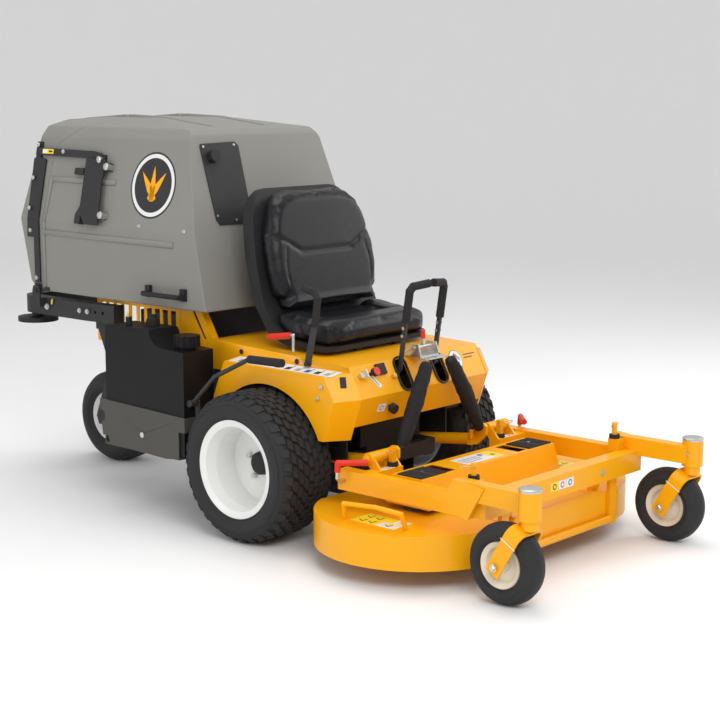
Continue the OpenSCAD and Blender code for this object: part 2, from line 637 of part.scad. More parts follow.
module catcher_hardware() {
    both() {
        // hinge pin of the door arms and the folded cover over it
        color(zinc) {
            on_wall(0, 2.5, [[786, 204], [814, 204], [814, 234], [786, 234]]);
            across(312, 332, door_y, door_z, 8);
        }
        color(charcoal) {
            on_wall(16, 20, [[869, 219], [769, 215], [777, 128], [769, 0], [840, 0], [872, 40]]);
            on_wall(0, 18, [[866, 212], [872, 212], [874, 40], [868, 40]]);
            on_wall(0, 20, [[864, 0], [892, 0], [892, 30], [872, 60], [864, 60]]);
        }
        // clamp knobs of the cover and a small side latch
        translate([catcher_half, 0, 896]) rotate([0, -lean, 0]) {
            color(zinc) across(0, 22, 752, 193, 11);
            color(zinc) across(0, 22, 752, 34, 11);
            color(black) box([0, 884, 164], [14, 930, 186]);
            color(charcoal) box([0, 748, 180], [19, 786, 206]);
            color(charcoal) box([0, 748, 22], [19, 786, 46]);
        }
        // lifting handle
        color(black) {
            box([354, 524, 684], [366, 546, 722]);
            box([354, 358, 684], [366, 380, 722]);
            box([365, 526, 690], [384, 544, 704]);
            box([365, 360, 690], [384, 378, 704]);
            rod([382, 539, 697], [382, 365, 697], 8);
        }
        // tilt strap down to the rear pivot
        color(charcoal) difference() {
            side(355, 360, [[1058, 664], [1098, 664], [1100, 680], [1134, 680], [1136, 654],
                [1128, 640], [1108, 640], [1098, 652], [1058, 658]]);
            across(350, 364, tilt_y, tilt_z, 8.06);
        }
        color(charcoal) box([354, 1060, 659], [357, 1082, 670]);
    }
}
module access_panel() color(charcoal) rotate_panel() difference() {
    translate([0, 0, 0.02]) linear_extrude(height = 4)
        polygon([[-258, 128], [-110, 132], [-96, 118], [-94, -120], [-106, -134],
            [-238, -134], [-250, -116], [-262, 118]]);
    translate([-222, 84, -1]) cylinder(h = 8, r = 8.06);
}
module panel_knob() color(black) rotate_panel() translate([-222, 84, 0]) {
    translate([0, 0, 0.5]) cylinder(h = 8, r = 8);
    translate([0, 0, 4.4]) cylinder(h = 22, r = 20);
}

translate([0, y_shift, 0]) {
    main_frame();
    body_shell();
    rear_grilles();
    engine();
    transmissions();
    blower_housing();
    fuel_tank();
    fuel_cap();
    tank_bracket();
    bumper_frame();
    bumper_roller(1);  // bumper_roller_left
    bumper_roller(-1);  // bumper_roller_right
    spring_bracket();
    bracket_lever();
    dash_trim();
    frame_fasteners();
    spring_sleeves();
    seat_pan();
    seat_cushion();
    seat_backrest();
    steering_lever(1);  // steering_lever_left
    steering_lever(-1);  // steering_lever_right
    steering_grip(1);  // steering_grip_left
    steering_grip(-1);  // steering_grip_right
    speed_lever();
    side_lever();
    clutch_rod();
    ignition_key();
    throttle_knob();
    choke_knob();
    drive_tyre(1);  // drive_tyre_left
    drive_tyre(-1);  // drive_tyre_right
    drive_rim(1);  // drive_rim_left
    drive_rim(-1);  // drive_rim_right
    tail_fork();
    tail_rim();
    tail_tyre();
    push_arms();
    deck_frame();
    deck_shell();
    deck_cover();
    deck_handles();
    deck_bumpers();
    deck_gearboxes();
    blade(1, 0);  // blade_left
    blade(-1, 90);  // blade_right
    latch_pin(1);  // latch_pin_left
    latch_pin(-1);  // latch_pin_right
    caster_fork(1);  // caster_fork_left
    caster_fork(-1);  // caster_fork_right
    caster_rim(1);  // caster_rim_left
    caster_rim(-1);  // caster_rim_right
    caster_tyre(1);  // caster_tyre_left
    caster_tyre(-1);  // caster_tyre_right
    catcher_shell();
    catcher_door();
    door_arms();
    catcher_hardware();
    access_panel();
    panel_knob();
}
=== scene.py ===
import bpy, bmesh, math
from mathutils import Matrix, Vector


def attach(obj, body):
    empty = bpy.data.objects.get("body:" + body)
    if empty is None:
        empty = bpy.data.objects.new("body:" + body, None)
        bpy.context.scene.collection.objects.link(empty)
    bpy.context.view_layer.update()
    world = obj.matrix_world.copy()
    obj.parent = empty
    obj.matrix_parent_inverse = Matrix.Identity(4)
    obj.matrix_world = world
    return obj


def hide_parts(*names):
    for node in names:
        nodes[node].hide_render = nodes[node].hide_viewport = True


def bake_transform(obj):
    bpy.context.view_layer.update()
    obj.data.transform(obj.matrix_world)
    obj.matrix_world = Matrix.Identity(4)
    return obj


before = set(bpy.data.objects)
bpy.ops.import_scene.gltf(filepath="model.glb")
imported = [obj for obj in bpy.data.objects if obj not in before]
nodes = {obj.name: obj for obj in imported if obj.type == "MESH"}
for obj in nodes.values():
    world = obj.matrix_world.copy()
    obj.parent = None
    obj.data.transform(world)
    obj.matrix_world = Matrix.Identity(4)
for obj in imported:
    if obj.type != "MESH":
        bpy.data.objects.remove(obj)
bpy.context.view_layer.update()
MM = 0.001
Y_SHIFT = -113.0
# lean of the catcher's upper side walls, and of its front wall
WALL_LEAN = math.radians(11.54)
PANEL_LEAN = math.atan(78 / 300)


def P(x, y, z):
    """Millimetres measured from the drive axle, as metres in the row frame."""
    return Vector((x, y + Y_SHIFT, z)) * MM


# ---- materials -------------------------------------------------------------------------------------
def make(name, rgb, rough=0.4, metal=0.0, grain=400.0, bump=0.1, var=0.06, coat=0.0, spread=0.07,
         kind="noise", spec=0.28):
    m = bpy.data.materials.new(name)
    m.use_nodes = True
    nt = m.node_tree
    b = nt.nodes["Principled BSDF"]
    b.inputs["Metallic"].default_value = metal
    b.inputs["Coat Weight"].default_value = coat
    b.inputs["Coat Roughness"].default_value = 0.12
    b.inputs["Specular IOR Level"].default_value = spec
    tc = nt.nodes.new("ShaderNodeTexCoord")
    big = nt.nodes.new("ShaderNodeTexNoise")
    big.inputs["Scale"].default_value = 5.0
    big.inputs["Detail"].default_value = 5.0
    fine = nt.nodes.new("ShaderNodeTexNoise")
    fine.inputs["Scale"].default_value = grain
    fine.inputs["Detail"].default_value = 3.0
    nt.links.new(tc.outputs["Object"], big.inputs["Vector"])
    if kind == "brushed":
        mp = nt.nodes.new("ShaderNodeMapping")
        mp.inputs["Scale"].default_value = (1.0, 0.05, 1.0)
        nt.links.new(tc.outputs["Object"], mp.inputs["Vector"])
        nt.links.new(mp.outputs["Vector"], fine.inputs["Vector"])
    else:
        nt.links.new(tc.outputs["Object"], fine.inputs["Vector"])
    both = nt.nodes.new("ShaderNodeMath")
    both.operation = "MULTIPLY_ADD"
    both.inputs[1].default_value = 0.35
    nt.links.new(fine.outputs["Fac"], both.inputs[0])
    half = nt.nodes.new("ShaderNodeMath")
    half.operation = "MULTIPLY"
    half.inputs[1].default_value = 0.65
    nt.links.new(big.outputs["Fac"], half.inputs[0])
    nt.links.new(half.outputs[0], both.inputs[2])
    mix = nt.nodes.new("ShaderNodeMix")
    mix.data_type = "RGBA"
    mix.inputs[6].default_value = [c * (1 - var) for c in rgb] + [1]
    mix.inputs[7].default_value = [min(1, c * (1 + var)) for c in rgb] + [1]
    nt.links.new(both.outputs[0], mix.inputs[0])
    nt.links.new(mix.outputs[2], b.inputs["Base Color"])
    mr = nt.nodes.new("ShaderNodeMapRange")
    mr.inputs["From Min"].default_value = 0.3
    mr.inputs["From Max"].default_value = 0.7
    mr.inputs["To Min"].default_value = max(0.04, rough - spread)
    mr.inputs["To Max"].default_value = min(1, rough + spread)
    nt.links.new(both.outputs[0], mr.inputs["Value"])
    nt.links.new(mr.outputs[0], b.inputs["Roughness"])
    height = fine.outputs["Fac"]
    if kind == "leather":
        vo = nt.nodes.new("ShaderNodeTexVoronoi")
        vo.inputs["Scale"].default_value = grain
        nt.links.new(tc.outputs["Object"], vo.inputs["Vector"])
        height = vo.outputs["Distance"]
    if kind == "weave":
        waves = []
        for d in ("X", "Z"):
            w = nt.nodes.new("ShaderNodeTexWave")
            w.bands_direction = d
            w.inputs["Scale"].default_value = grain
            w.inputs["Distortion"].default_value = 0.6
            nt.links.new(tc.outputs["Object"], w.inputs["Vector"])
            waves.append(w)
        mul = nt.nodes.new("ShaderNodeMath")
        mul.operation = "MULTIPLY"
        nt.links.new(waves[0].outputs["Fac"], mul.inputs[0])
        nt.links.new(waves[1].outputs["Fac"], mul.inputs[1])
        height = mul.outputs[0]
    bp = nt.nodes.new("ShaderNodeBump")
    bp.inputs["Strength"].default_value = bump
    bp.inputs["Distance"].default_value = 0.001
    nt.links.new(height, bp.inputs["Height"])
    nt.links.new(bp.outputs["Normal"], b.inputs["Normal"])
    return m


AMBER = make("amber paint", (0.92, 0.41, 0.002), 0.34, grain=900, bump=0.05, var=0.04, coat=0.12)
CHAR = make("charcoal paint", (0.028, 0.028, 0.030), 0.5, grain=700, bump=0.12, var=0.2)
BRACKET = make("bracket paint", (0.075, 0.070, 0.062), 0.5, grain=600, bump=0.12, var=0.12)
WHITE = make("white paint", (0.82, 0.82, 0.80), 0.28, grain=500, bump=0.03, var=0.03, coat=0.3)
CREAM = make("cream plastic", (0.78, 0.70, 0.56), 0.35, grain=500, bump=0.05, var=0.04, coat=0.2)
CAST = make("cast metal", (0.07, 0.07, 0.072), 0.55, metal=0.5, grain=260, bump=0.35, var=0.2)
STEEL = make("dark steel", (0.045, 0.045, 0.048), 0.45, metal=0.2, grain=500, bump=0.12, var=0.15)
ZINC = make("zinc plate", (0.62, 0.62, 0.60), 0.3, metal=0.95, grain=300, bump=0.1, var=0.08, kind="brushed")
BRASS = make("yellow zinc", (0.75, 0.52, 0.16), 0.32, metal=0.95, grain=300, bump=0.1, var=0.1)
PLASTIC = make("black plastic", (0.018, 0.018, 0.019), 0.5, grain=800, bump=0.15, var=0.15)
TANK = make("tank plastic", (0.008, 0.008, 0.009), 0.42, grain=350, bump=0.25, var=0.2, spec=0.18)
RED = make("red grip", (0.72, 0.035, 0.018), 0.42, grain=500, bump=0.2, var=0.1)
GREY = make("textured grey", (0.250, 0.243, 0.222), 0.62, grain=620, bump=0.55, var=0.10, spec=0.25)
VINYL = make("black vinyl", (0.008, 0.008, 0.010), 0.30, grain=900, bump=0.2, var=0.1, kind="leather")
WEAVE = make("woven mesh", (0.016, 0.016, 0.018), 0.7, grain=95, bump=0.9, var=0.3, kind="weave")
RUBBER = make("black rubber", (0.02, 0.02, 0.02), 0.65, grain=600, bump=0.2, var=0.2)
TYRE = make("tyre rubber", (0.022, 0.022, 0.023), 0.68, grain=420, bump=0.3, var=0.25, spec=0.35)
GRIP = make("foam grip", (0.02, 0.02, 0.021), 0.75, grain=900, bump=0.5, var=0.2)
PAD = make("tread pad", (0.03, 0.03, 0.031), 0.8, grain=420, bump=0.9, var=0.3)
LABEL = make("label white", (0.80, 0.80, 0.78), 0.35, grain=300, bump=0.02, var=0.03)
LABEL_Y = make("label yellow", (0.90, 0.70, 0.03), 0.35, grain=300, bump=0.02, var=0.04)
LABEL_K = make("label ink", (0.03, 0.03, 0.035), 0.4, grain=300, bump=0.02, var=0.1)
LABEL_G = make("label grey", (0.35, 0.36, 0.38), 0.4, grain=300, bump=0.02, var=0.1)
LABEL_B = make("label blue", (0.06, 0.12, 0.42), 0.4, grain=300, bump=0.02, var=0.1)
LABEL_R = make("label red", (0.62, 0.05, 0.04), 0.4, grain=300, bump=0.02, var=0.1)


def paint(name, mats, which=None):
    """New finish on a CAD node; which(x, y, z) in millimetres from the axle picks one of mats."""
    o = nodes[name]
    o.data.materials.clear()
    for m in mats:
        o.data.materials.append(m)
    for p in o.data.polygons:
        k = 0
        if which:
            c = p.center / MM
            k = which(c.x, c.y - Y_SHIFT, c.z)
        p.material_index = k


# ---- building helpers ----------------------------------------------------------------------------
def new_object(name, verts, faces, mat, smooth=False):
    me = bpy.data.meshes.new(name)
    me.from_pydata([tuple(v) for v in verts], [], faces)
    me.update()
    o = bpy.data.objects.new(name, me)
    bpy.context.scene.collection.objects.link(o)
    me.materials.append(mat)
    bm = bmesh.new()
    bm.from_mesh(me)
    bmesh.ops.recalc_face_normals(bm, faces=bm.faces)
    bm.to_mesh(me)
    bm.free()
    if smooth:
        me.shade_smooth()
    return o


def place(o, body):
    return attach(o, body)


def prism(name, mat, points, lift):
    """points: one loop of Vectors; lift: the Vector that the loop is drawn out by."""
    n = len(points)
    verts = list(points) + [p + lift for p in points]
    faces = [list(range(n))[::-1], list(range(n, 2 * n))]
    faces += [[i, (i + 1) % n, n + (i + 1) % n, n + i] for i in range(n)]
    return new_object(name, verts, faces, mat)


def side_prism(name, mat, x0, x1, pts):
    return prism(name, mat, [P(x0, y, z) for y, z in pts], Vector((x1 - x0, 0, 0)) * MM)


def front_prism(name, mat, y0, y1, pts):
    return prism(name, mat, [P(x, y0, z) for x, z in pts], Vector((0, y1 - y0, 0)) * MM)


def turned(name, mat, a, axis, profile, seg=32, body=None):
    """Turned piece: profile of (radius, distance along axis) in mm from point a (metres)."""
    axis = axis.normalized()
    u = axis.orthogonal().normalized()
    v = axis.cross(u)
    verts, faces = [], []
    for r, d in profile:
        for i in range(seg):
            t = 2 * math.pi * i / seg
            verts.append(a + axis * d * MM + (u * math.cos(t) + v * math.sin(t)) * max(r, 0.01) * MM)
    for k in range(len(profile) - 1):
        for i in range(seg):
            j = (i + 1) % seg
            faces.append([k * seg + i, k * seg + j, (k + 1) * seg + j, (k + 1) * seg + i])
    faces.append(list(range(seg))[::-1])
    faces.append([(len(profile) - 1) * seg + i for i in range(seg)])
    o = new_object(name, verts, faces, mat, smooth=True)
    o.data.set_sharp_from_angle(angle=math.radians(32))
    if body:
        place(o, body)
    return o


def bolt(name, body, at, axis, r=7.0, h=5.0, mat=None):
    """Hex head on a washer."""
    mat = mat or ZINC
    axis = axis.normalized()
    w = turned(name, mat, at, axis, [(r * 1.35, 0), (r * 1.35, 1.4), (r * 1.2, 1.7)], 24)
    head = turned(name + "_head", mat, at + axis * 1.6 * MM, axis, [(r, 0), (r, h - 1), (r * 0.86, h)], 6)
    return join(name, [w, head], body)


def join(name, objs, body=None):
    bpy.ops.object.select_all(action="DESELECT")
    for o in objs:
        o.select_set(True)
    bpy.context.view_layer.objects.active = objs[0]
    if len(objs) > 1:
        bpy.ops.object.join()
    o = objs[0]
    o.name = name
    if body:
        place(o, body)
    return o


def tube(name, mat, pts, r, body=None, seg=12, smooth_path=True, closed=False):
    """Round bar or wire along points in metres."""
    c = bpy.data.curves.new(name, "CURVE")
    c.dimensions = "3D"
    c.bevel_depth = r * MM
    c.bevel_resolution = max(2, seg // 4)
    c.use_fill_caps = True
    s = c.splines.new("NURBS" if smooth_path else "POLY")
    s.points.add(len(pts) - 1)
    for p, q in zip(s.points, pts):
        p.co = (*q, 1)
    if smooth_path:
        s.order_u = 3
        s.use_endpoint_u = not closed
    s.use_cyclic_u = closed
    c.resolution_u = 6
    o = bpy.data.objects.new(name, c)
    bpy.context.scene.collection.objects.link(o)
    me = bpy.data.meshes.new_from_object(o.evaluated_get(bpy.context.evaluated_depsgraph_get()))
    bpy.data.objects.remove(o)
    me.name = name
    me.materials.clear()
    me.materials.append(mat)
    for p in me.polygons:
        p.material_index = 0
    me.shade_smooth()
    o = bpy.data.objects.new(name, me)
    bpy.context.scene.collection.objects.link(o)
    if body:
        place(o, body)
    return o


def bake(o):
    bpy.context.view_layer.update()
    me = bpy.data.meshes.new_from_object(o.evaluated_get(bpy.context.evaluated_depsgraph_get()))
    o.modifiers.clear()
    o.data = me
    return o


def boolean(a, b, how, keep=False):
    m = a.modifiers.new("cut", "BOOLEAN")
    m.operation = how
    m.solver = "EXACT"
    m.object = b
    bake(a)
    if not keep:
        bpy.data.objects.remove(b)
    return a


def bevel(o, width, seg=2, angle=30, weld=False):
    if weld:
        w = o.modifiers.new("weld", "WELD")
        w.merge_threshold = 0.00002
    m = o.modifiers.new("bevel", "BEVEL")
    m.width = width * MM
    m.segments = seg
    m.limit_method = "ANGLE"
    m.angle_limit = math.radians(angle)
    m.harden_normals = True
    return o


def soften(name, width, seg=2, angle=32):
    """Small rounded edges on a CAD node, as a modifier."""
    o = nodes[name]
    if "custom_normal" in o.data.attributes:
        o.data.attributes.remove(o.data.attributes["custom_normal"])
    o.data.shade_smooth()
    return bevel(o, width, seg, angle, weld=True)


# ---- CAD nodes: finishes -------------------------------------------------------------------------
paint("main_frame", [CHAR])
paint("body_shell", [AMBER])
paint("rear_grilles", [AMBER])
paint("engine", [CAST])
paint("transmissions", [CAST])
paint("blower_housing", [PLASTIC])
paint("fuel_tank", [TANK])
paint("fuel_cap", [TANK])
paint("tank_bracket", [BRACKET])
paint("bumper_frame", [CHAR])
for s in ("left", "right"):
    paint("bumper_roller_" + s, [RUBBER])
paint("spring_bracket", [ZINC])
paint("bracket_lever", [ZINC, RED], lambda x, y, z: 1 if z > 595 else 0)
paint("dash_trim", [PLASTIC])


def fastener(x, y, z):
    if x < -370 and z > 600:
        return 2
    return 1 if abs(x + 131) < 20 and y < -280 else 0


paint("frame_fasteners", [ZINC, BRASS, PLASTIC], fastener)
paint("spring_sleeves", [WEAVE])
paint("seat_pan", [PLASTIC])
for k, s in (("left", 1), ("right", -1)):
    paint("steering_lever_" + k, [STEEL, ZINC],
          lambda x, y, z, s=s: 1 if abs(abs(x - s * 80) - 9) < 0.2 and z > 560 else 0)
    paint("steering_grip_" + k, [GRIP])
    paint("drive_tyre_" + k, [TYRE])

    def rim(x, y, z, s=s):
        r = math.hypot(y, z - 228)
        d = (x - s * 402) * s
        if r < 37.5 and d < 3 and not (r > 33.9 and -28.2 < d < -21.9):
            return 1
        if 42 < r < 64 and -21.5 < d < -8:
            return 2
        if 92 < r < 108 and -5 < d < 32 and abs(z - 228) < 60:
            return 1
        return 0

    paint("drive_rim_" + k, [WHITE, PLASTIC, ZINC], rim)
    paint("latch_pin_" + k, [ZINC, RED], lambda x, y, z: 1 if z > 267.5 else 0)

    def fork(x, y, z, s=s):
        if z > 318.1:
            return 1
        if abs(y + 939) < 9 and abs(z - 112) < 9 and abs(abs(x - s * 407) - 58) < 3.2:
            return 1
        return 0

    paint("caster_fork_" + k, [AMBER, ZINC], fork)
    paint("caster_rim_" + k, [CREAM])
    paint("caster_tyre_" + k, [TYRE])
paint("speed_lever", [STEEL, GRIP],
      lambda x, y, z: 1 if z > 651 and x > -324 and (z > 664.2 or abs(x + 312) > 4.2) else 0)
paint("side_lever", [STEEL, GRIP], lambda x, y, z: 1 if y < -22 else 0)
paint("clutch_rod", [ZINC, RED],
      lambda x, y, z: 1 if z > 580 and y > -25 and (abs(x + 282) > 5.3 or z > 602 or y > 6) else 0)
paint("ignition_key", [ZINC])

throttle_face = max(p.center.dot(Vector((0, -90, 48))) for p in nodes["throttle_knob"].data.polygons)
paint("throttle_knob", [PLASTIC, RED],
      lambda x, y, z: 1 if P(x, y, z).dot(Vector((0, -90, 48))) > throttle_face - 0.02 else 0)
paint("choke_knob", [PLASTIC])
paint("tail_fork", [CHAR])
paint("tail_rim", [WHITE])
paint("tail_tyre", [TYRE])
paint("push_arms", [AMBER])
paint("deck_frame", [AMBER])
paint("deck_shell", [AMBER])
paint("deck_handles", [AMBER])
paint("deck_cover", [AMBER])
paint("deck_gearboxes", [CAST])


def pads(x, y, z):
    if -575 < y < -470 and z < 262.5 and not (math.hypot(abs(x) - 257, y + 522) < 5.2):
        return 0
    if -530 < y < -515 or z > 312.5 or (z > 275.5 and y > -430):
        return 2 if -530 < y < -515 else 3
    return 1


paint("deck_bumpers", [PAD, RUBBER, ZINC, AMBER], pads)
for k in ("left", "right"):
    paint("blade_" + k, [STEEL])


def on_wall_local(x, y, z):
    a = WALL_LEAN
    dx, dz = abs(x) - 354, z - 896
    return dx * math.cos(a) + dz * math.sin(a), y, -dx * math.sin(a) + dz * math.cos(a)


def arms(x, y, z):
    off = on_wall_local(x, y, z)[0]
    if z < 900 and abs(x) > 361.2:
        return 1
    if z >= 896 and off > 12.0:
        return 1
    return 0


paint("door_arms", [CHAR, ZINC], arms)


def hardware(x, y, z):
    yy, up = on_wall_local(x, y, z)[1:]
    if z < 735 and y < 560:
        return 2
    if z > 890 and math.hypot(yy - 752, up - 193) < 11.6 or z > 890 and math.hypot(yy - 752, up - 34) < 11.6:
        return 1
    if z > 1040 and 790 < y < 812 and abs(z - 1112) < 9:
        return 1
    return 0


paint("catcher_hardware", [CHAR, ZINC, PLASTIC], hardware)
paint("access_panel", [CHAR])
paint("panel_knob", [PLASTIC])

for name, width in (("main_frame", 2.0), ("body_shell", 1.1), ("rear_grilles", 0.8), ("bumper_frame", 3.0),
                    ("tank_bracket", 0.8), ("deck_frame", 2.2), ("deck_shell", 1.4), ("deck_cover", 1.2),
                    ("push_arms", 1.2), ("seat_pan", 3.0), ("access_panel", 0.8), ("spring_bracket", 0.8)):
    soften(name, width)
soften("fuel_tank", 11.0, 4, 40)


# ---- drive tyres with turf tread -----------------------------------------------------------------
def tyre_profile(w):
    pts = [(0, 228), (63, 227.6), (84, 225), (96, 217), (104, 206), (109, 194), (111, 186)]
    w = abs(w)
    for (a, ra), (b, rb) in zip(pts, pts[1:]):
        if w <= b:
            return ra + (rb - ra) * (w - a) / (b - a)
    return pts[-1][1]


def drive_tyre(k, s):
    centre = P(s * 402, 0, 228)
    prof = [(-91, 135), (-97, 150), (-104, 158), (-108, 168), (-110.5, 180), (-110, 190), (-106.5, 199),
            (-101, 206), (-94, 212), (-82, 217.5), (-60, 220), (0, 220.5), (60, 220), (82, 217.5), (94, 212),
            (101, 206), (106.5, 199), (110, 190), (110.5, 180), (108, 168), (104, 158), (97, 150), (91, 135)]
    seg = 96
    verts, faces = [], []
    for x, r in prof:
        for i in range(seg):
            t = 2 * math.pi * i / seg
            verts.append(centre + Vector((x, r * math.cos(t), r * math.sin(t))) * MM)
    for a in range(len(prof) - 1):
        for i in range(seg):
            j = (i + 1) % seg
            faces.append([a * seg + i, a * seg + j, (a + 1) * seg + j, (a + 1) * seg + i])
    for i in range(seg):
        j = (i + 1) % seg
        faces.append([i, j, (len(prof) - 1) * seg + j, (len(prof) - 1) * seg + i])
    carcass = new_object("turf_tyre_" + k, verts, faces, TYRE, smooth=True)

    # blocks: (lateral middle, half width, half length along the tread, skew)
    verts, faces = [], []
    pitches = 34
    step = 2 * math.pi / pitches
    rows = [(0, 9.5, 0.0), (-22, 9.5, 0.5), (22, 9.5, 0.5), (-44, 9.5, 0.0), (44, 9.5, 0.0), (-66, 9.0, 0.5),
            (66, 9.0, 0.5), (-90, 12.5, 0.0), (90, 12.5, 0.0)]
    for w, hw, phase in rows:
        for i in range(pitches):
            t = step * (i + phase)
            lean = 0.35 if (w > 0) == (s > 0) else -0.35
            if w == 0:
                lean = 0.0
            shoulder = abs(w) > 80
            hl = 0.40 if not shoulder else 0.33
            base = len(verts)
            for lift, shrink in ((-4.0, 1.0), (0.0, 0.86)):
                for dw, dt in ((-1, -1), (-1, 1), (1, 1), (1, -1)):
                    ww = w + dw * hw * shrink
                    tt = t + (dt * hl * shrink + lean * dw * (0.35 if not shoulder else 0.2)) * step
                    r = tyre_profile(ww) + lift
                    xx = ww
                    if shoulder and abs(ww) > 90 and lift < 0:
                        xx = ww - math.copysign(4.0, ww)
                    verts.append(centre + Vector((xx, r * math.cos(tt), r * math.sin(tt))) * MM)
            a = base
            faces += [[a + 4, a + 5, a + 6, a + 7]]
            faces += [[a + q, a + (q + 1) % 4, a + 4 + (q + 1) % 4, a + 4 + q] for q in range(4)]
    blocks = new_object("blocks_" + k, verts, faces, TYRE)
    # thin raised rings on each side wall
    rings = []
    for x in (-1, 1):
        for r, w in ((152, 99.5), (196, 108.3)):
            pts = [centre + Vector((x * w, r * math.cos(t), r * math.sin(t))) * MM
                   for t in [2 * math.pi * i / 48 for i in range(48)]]
            rings.append(tube("ring", TYRE, pts, 1.6, seg=8, closed=True))
    o = join("turf_tyre_" + k, [carcass, blocks] + rings)
    place(o, "wheel_" + k)
    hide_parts("drive_tyre_" + k)


drive_tyre("left", 1)
drive_tyre("right", -1)


# ---- woven sleeves over the springs --------------------------------------------------------------
def sleeves():
    parts = []
    for s in (1, -1):
        a, b = P(s * 54, -371, 534), P(s * 188, -384, 298)
        ax = (b - a).normalized()
        u = ax.orthogonal().normalized()
        v = ax.cross(u)
        n, seg = 26, 28
        length = (b - a).length
        verts, faces = [], []
        for i in range(n + 1):
            t = i / n
            r = 15.5 - 2.5 * t + 9.5 * math.sin(math.pi * t) ** 0.55
            r += 0.7 * math.sin(t * 46 + s) + 0.5 * math.sin(t * 17)
            sag = Vector((s * 0.002, -0.003, 0)) * math.sin(math.pi * t)
            for j in range(seg):
                q = 2 * math.pi * j / seg
                rr = r * (1 + 0.03 * math.sin(5 * q + t * 21))
                verts.append(a + ax * length * t + sag + (u * math.cos(q) + v * math.sin(q)) * rr * MM)
        for i in range(n):
            for j in range(seg):
                k = (j + 1) % seg
                faces.append([i * seg + j, i * seg + k, (i + 1) * seg + k, (i + 1) * seg + j])
        faces.append(list(range(seg))[::-1])
        faces.append([n * seg + j for j in range(seg)])
        parts.append(new_object("sleeve", verts, faces, WEAVE, smooth=True))
        for p, d in ((a, ax), (b, -ax)):
            parts.append(turned("ferrule", PLASTIC, p - d * 2 * MM, d,
                                [(12, 0), (14.5, 2), (14.5, 12), (13, 14)], 24))
    o = join("woven_spring_sleeves", parts)
    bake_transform(o)
    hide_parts("spring_sleeves")


sleeves()


# ---- grass catcher shell and door ----------------------------------------------------------------
def catcher_solid(t, rounded):
    a = side_prism("a", GREY, -400, 400, [
        (273 + t, 655 + t), (322 + t, 896), (400 + t, 1196 - t), (420 + t, 1214 - t), (700, 1246 - t),
        (900, 1252 - t), (1144 - t, 1236 - t), (1213 - t, 902), (1163 - t, 688 + t * 0.4),
        (1130 - t * 0.4, 656 + t)])
    b = front_prism("b", GREY, 200, 1300, [
        (-354 + t, 640), (-354 + t, 896), (-296 + t, 1180), (-272 + t, 1216 - t * 0.6), (-150, 1246 - t),
        (150, 1246 - t), (272 - t, 1216 - t * 0.6), (296 - t, 1180), (354 - t, 896), (354 - t, 640)])
    boolean(a, b, "INTERSECT")
    if rounded:
        bevel(a, rounded, 4, 10)
        a.modifiers[-1].harden_normals = False
        bake(a)
    return a


def door_region(g):
    return side_prism("door", GREY, -420, 420, [
        (889 - g, 1262), (890 - g, 1247), (1064 - g, 1150), (1080 - g, 1049), (1092 - g, 872),
        (1092 - g, 640), (1300, 640), (1300, 1300), (889 - g, 1300)])


def wall_point(s, y, up, off):
    a = WALL_LEAN
    return P(s * (354 + off * math.cos(a) - up * math.sin(a)), y, 896 + off * math.sin(a) + up * math.cos(a))


def wall_normal(s):
    return Vector((s * math.cos(WALL_LEAN), 0, math.sin(WALL_LEAN)))


def wall_piece(name, mat, s, o0, o1, pts):
    return prism(name, mat, [wall_point(s, y, u, o0) for y, u in pts], wall_normal(s) * (o1 - o0) * MM)


